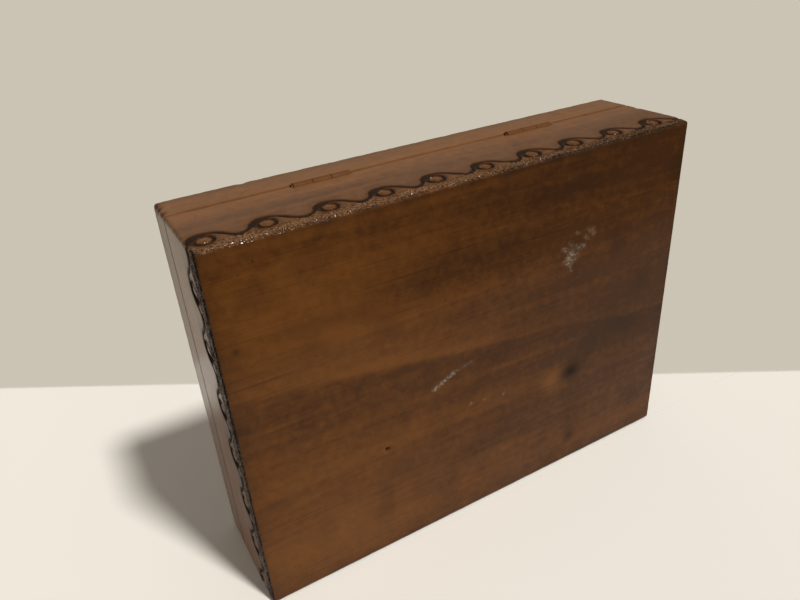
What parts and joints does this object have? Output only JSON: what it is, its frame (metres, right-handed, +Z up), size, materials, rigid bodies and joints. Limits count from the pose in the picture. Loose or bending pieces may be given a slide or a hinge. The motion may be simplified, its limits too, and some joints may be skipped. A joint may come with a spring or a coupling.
{
  "type": "playing card box",
  "caption": "Low wooden box with a hinged lid on let-in butt hinges, with wells for decks of playing cards side by side.",
  "frame": {"origin": "middle of the underside, on the plane that the shut box rests on", "axes": "+Z up through the lid, +Y towards the hinged back, +X to the right of someone who faces the front"},
  "size_m": [0.15, 0.1127, 0.0367],
  "materials": {
    "body_wood": "varnished, darkened with age",
    "lid_wood": "varnished, darkened with age",
    "inner_wood": "thinly varnished",
    "hinge_brass": "tarnished",
    "hinge_steel": "dulled"
  },
  "bodies": {
    "box": {"bottom_board": "body_wood", "body_front": "body_wood", "body_back": "body_wood", "body_left": "body_wood", "body_right": "body_wood", "divider": "inner_wood", "hinge_left_body_leaf": "hinge_brass", "hinge_right_body_leaf": "hinge_brass", "hinge_left_pin": "hinge_steel", "hinge_right_pin": "hinge_steel", "hinge_screws_body": "hinge_steel"},
    "lid": {"lid_top": "lid_wood", "lid_front": "lid_wood", "lid_back": "lid_wood", "lid_left": "lid_wood", "lid_right": "lid_wood", "hinge_left_lid_leaf": "hinge_brass", "hinge_right_lid_leaf": "hinge_brass", "hinge_screws_lid": "hinge_steel"}
  },
  "joints": [
    {"name": "lid_hinge", "type": "hinge", "parent": "box", "child": "lid", "pos_m": [0, 0.0555, 0.0247], "axis": [-1, 0, 0], "range_deg": [0, 103]}
  ]
}
